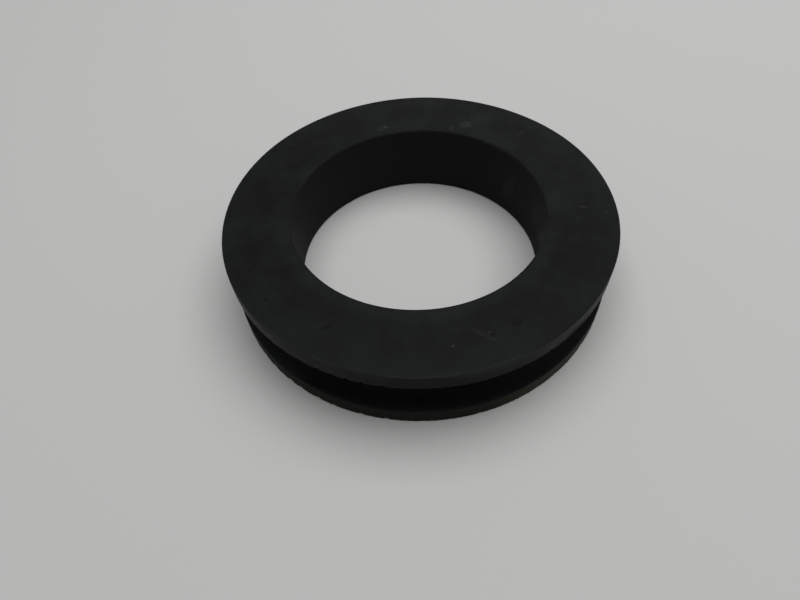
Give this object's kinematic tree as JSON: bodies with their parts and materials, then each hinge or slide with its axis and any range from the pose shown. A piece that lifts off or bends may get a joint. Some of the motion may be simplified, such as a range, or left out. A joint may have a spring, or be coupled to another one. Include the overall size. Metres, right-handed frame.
{
  "type": "steering column sleeve",
  "caption": "Black rubber ring with a plain bore, flat flanges and a deep groove round its rim, which seats a steering column's tube in a round panel hole.",
  "frame": {"origin": "centre of the ring's underside, on the bore's axis", "axes": "+Z along the bore's axis, from the lower flange to the upper one; X and Y lie in the underside, and the ring is the same all round"},
  "size_m": [0.069, 0.069, 0.0138],
  "materials": {
    "rubber": "dull moulded black, faintly mottled, with light handling marks"
  },
  "bodies": {
    "root": {"column_sleeve": "rubber"}
  },
  "joints": []
}
